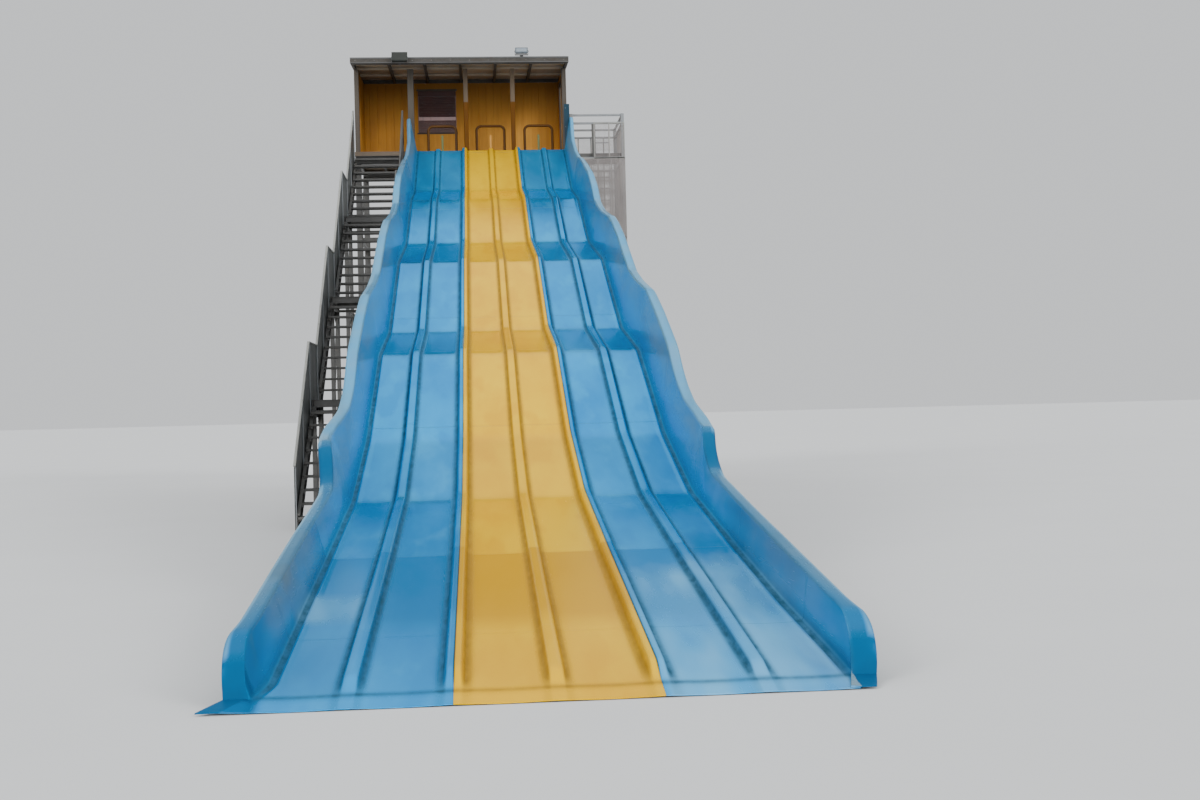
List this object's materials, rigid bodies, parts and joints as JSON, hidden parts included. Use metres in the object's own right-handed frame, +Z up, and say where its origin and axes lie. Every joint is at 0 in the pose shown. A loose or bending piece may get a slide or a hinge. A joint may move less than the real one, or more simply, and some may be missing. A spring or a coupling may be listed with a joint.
{
  "type": "water slide tower",
  "caption": "Wide multi-lane wave slide on steel supports with a launch cabin on a high deck, a straight side stair and a mesh-clad service shaft",
  "frame": {"origin": "centre of the base footprint, at ground level", "axes": "+X to the right as a rider's exit is seen from the pool, +Y from the slide's foot back to the tower, +Z up"},
  "size_m": [6.64, 30.25, 10.4773],
  "materials": {
    "blue_shell": "glossy moulded gel coat",
    "yellow_shell": "glossy moulded gel coat",
    "steel": "weathered grey paint",
    "dark_steel": "weathered dark paint",
    "ochre_boards": "painted ochre boarding",
    "grey_timber": "weathered grey-brown paint",
    "brown_tube": "brown painted tube",
    "shutter": "dark slatted shutter",
    "deck_boards": "worn boards",
    "panel_grey": "flat grey sheet",
    "netting": "woven wire mesh",
    "lamp_grey": "cast housing"
  },
  "bodies": {
    "root": {"left_strip_runout": "blue_shell", "left_strip_lower_slope": "blue_shell", "left_strip_upper_slope": "blue_shell", "middle_strip_runout": "yellow_shell", "middle_strip_lower_slope": "yellow_shell", "middle_strip_upper_slope": "yellow_shell", "right_strip_runout": "blue_shell", "right_strip_lower_slope": "blue_shell", "right_strip_upper_slope": "blue_shell", "slide_support_1": "steel", "slide_support_2": "steel", "slide_support_3": "steel", "slide_support_4": "steel", "slide_support_5": "steel", "slide_support_6": "steel", "slide_support_7": "steel", "slide_support_8": "steel", "slide_support_9": "steel", "tower_front_frame": "dark_steel", "tower_back_frame": "dark_steel", "tower_left_bracing": "dark_steel", "tower_right_bracing": "dark_steel", "deck_floor": "deck_boards", "cabin_back_wall": "ochre_boards", "cabin_left_wall": "ochre_boards", "cabin_right_wall": "ochre_boards", "back_window_shutter": "shutter", "front_post_left_corner": "grey_timber", "front_post_stair_side": "grey_timber", "front_post_right_corner": "grey_timber", "front_post_left_lane": "steel", "front_post_right_lane": "steel", "roof_rafters": "grey_timber", "roof_sheet": "grey_timber", "roof_fascia": "grey_timber", "floodlight_left": "lamp_grey", "floodlight_right": "lamp_grey", "hoop_left_strip": "brown_tube", "hoop_middle_strip": "brown_tube", "hoop_right_strip": "brown_tube", "stair_flight_1": "dark_steel", "stair_flight_2": "dark_steel", "stair_flight_3": "dark_steel", "stair_flight_4": "dark_steel", "stair_landing_1": "dark_steel", "stair_landing_2": "dark_steel", "stair_landing_3": "dark_steel", "stair_outer_panel_lower": "panel_grey", "stair_outer_panel_upper": "panel_grey", "stair_inner_rail_lower": "steel", "stair_inner_rail_upper": "steel", "shaft_frame": "steel", "shaft_mesh_cladding": "netting", "shaft_landing": "dark_steel", "shaft_ladder": "steel"}
  },
  "joints": []
}
